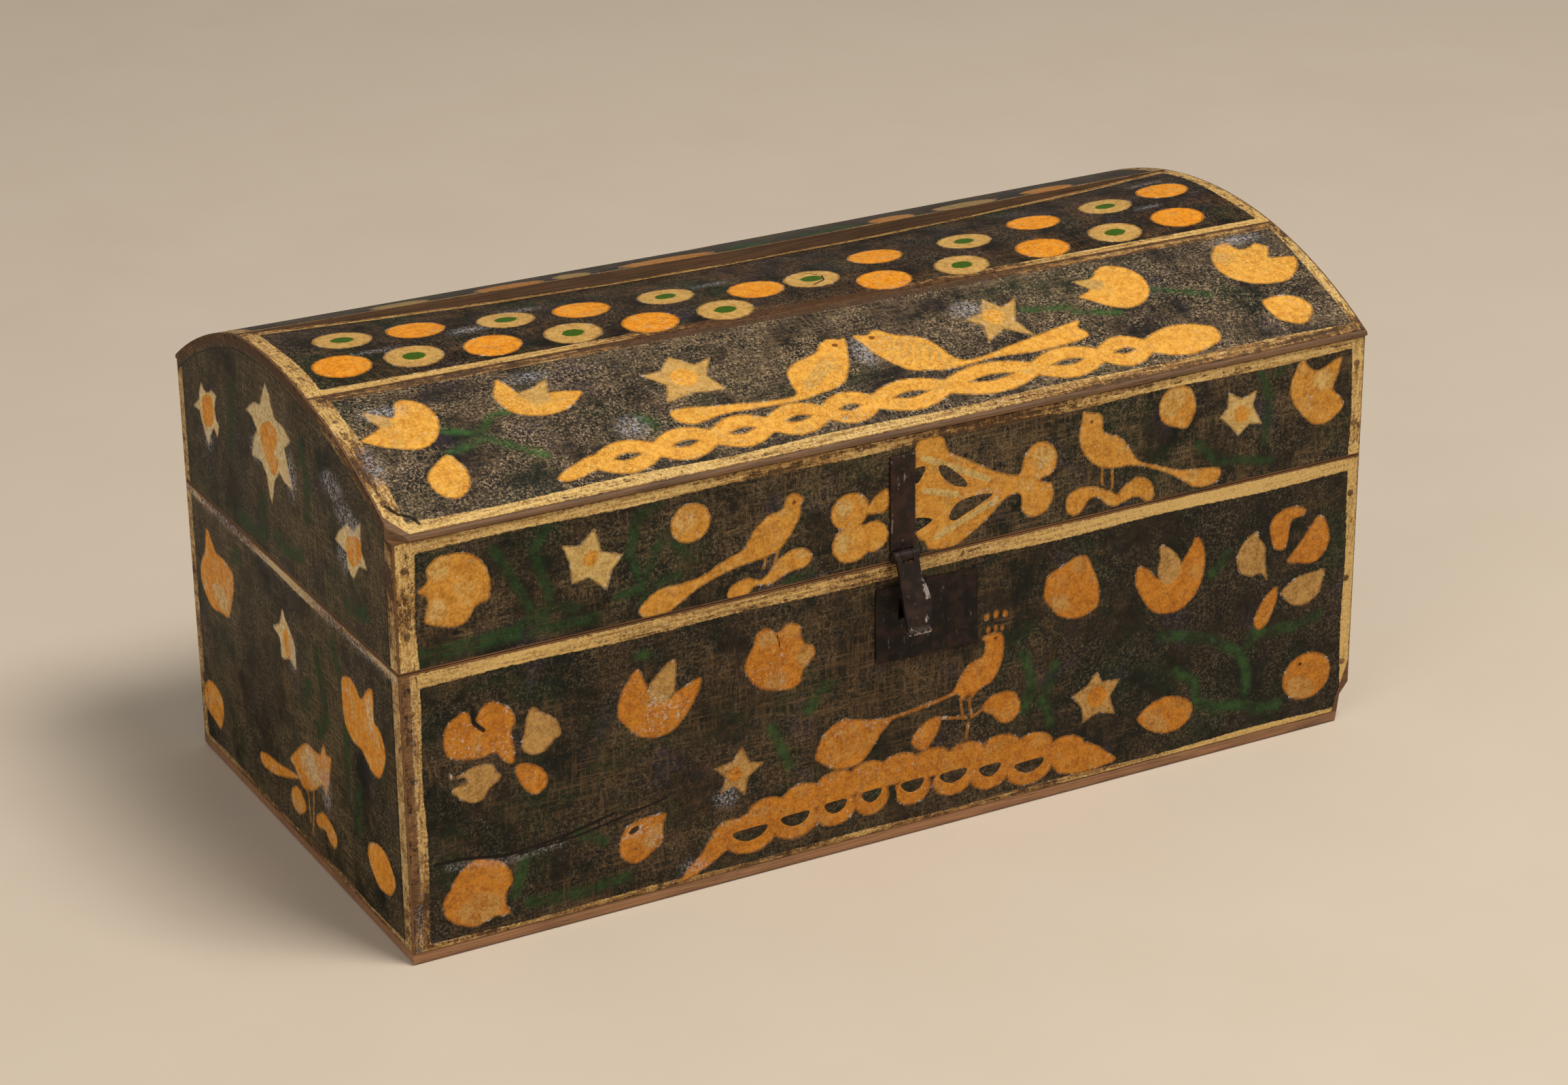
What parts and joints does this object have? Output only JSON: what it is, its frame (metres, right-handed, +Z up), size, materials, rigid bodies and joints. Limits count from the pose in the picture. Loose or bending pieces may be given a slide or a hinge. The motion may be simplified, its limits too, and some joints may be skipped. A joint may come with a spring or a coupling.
{
  "type": "painted wedding chest",
  "caption": "Small painted wooden wedding chest with a barrel-topped lid on wire hinges, iron hasp and lock plate; folk flowers, birds and stars on a dark ground.",
  "frame": {"origin": "centre of the underside of the bottom board", "axes": "+X along the length to the right as seen from the front, +Y from the front toward the hinged back, +Z up"},
  "size_m": [0.48, 0.2672, 0.2317],
  "materials": {
    "painted_wood": "matte",
    "bare_wood": "matte",
    "wrought_iron": "matte"
  },
  "bodies": {
    "base": {"bottom_board": "bare_wood", "base_front_board": "painted_wood", "base_back_board": "painted_wood", "base_left_end": "painted_wood", "base_right_end": "painted_wood", "base_corner_nails": "wrought_iron", "bottom_nails": "wrought_iron", "base_hinge_pins": "wrought_iron", "lock_plate": "wrought_iron", "lock_plate_nails": "wrought_iron", "lock_bolt_guides": "wrought_iron", "lock_spring": "wrought_iron"},
    "lid": {"lid_front_rail": "painted_wood", "lid_back_rail": "painted_wood", "lid_left_end": "painted_wood", "lid_right_end": "painted_wood", "dome_front_board": "painted_wood", "dome_top_board": "painted_wood", "dome_back_board": "painted_wood", "lid_corner_nails": "wrought_iron", "dome_nails": "wrought_iron", "lid_hinge_pins": "wrought_iron", "hasp_strap": "wrought_iron", "strap_nails": "wrought_iron", "hasp_pin": "wrought_iron"},
    "hasp": {"hasp_tongue": "wrought_iron", "hasp_staple": "wrought_iron"},
    "bolt": {"lock_bolt": "wrought_iron"}
  },
  "joints": [
    {"name": "lid_hinge", "type": "hinge", "parent": "base", "child": "lid", "pos_m": [0, 0.1257, 0.13485], "axis": [-1, 0, 0], "range_deg": [0, 105]},
    {"name": "hasp_hinge", "type": "hinge", "parent": "lid", "child": "hasp", "pos_m": [-0.0035, -0.12435, 0.138], "axis": [-1, 0, 0], "range_deg": [-18, 130]},
    {"name": "bolt_slide", "type": "slide", "parent": "base", "child": "bolt", "axis": [-1, 0, 0], "range_m": [0, 0.0055]}
  ]
}
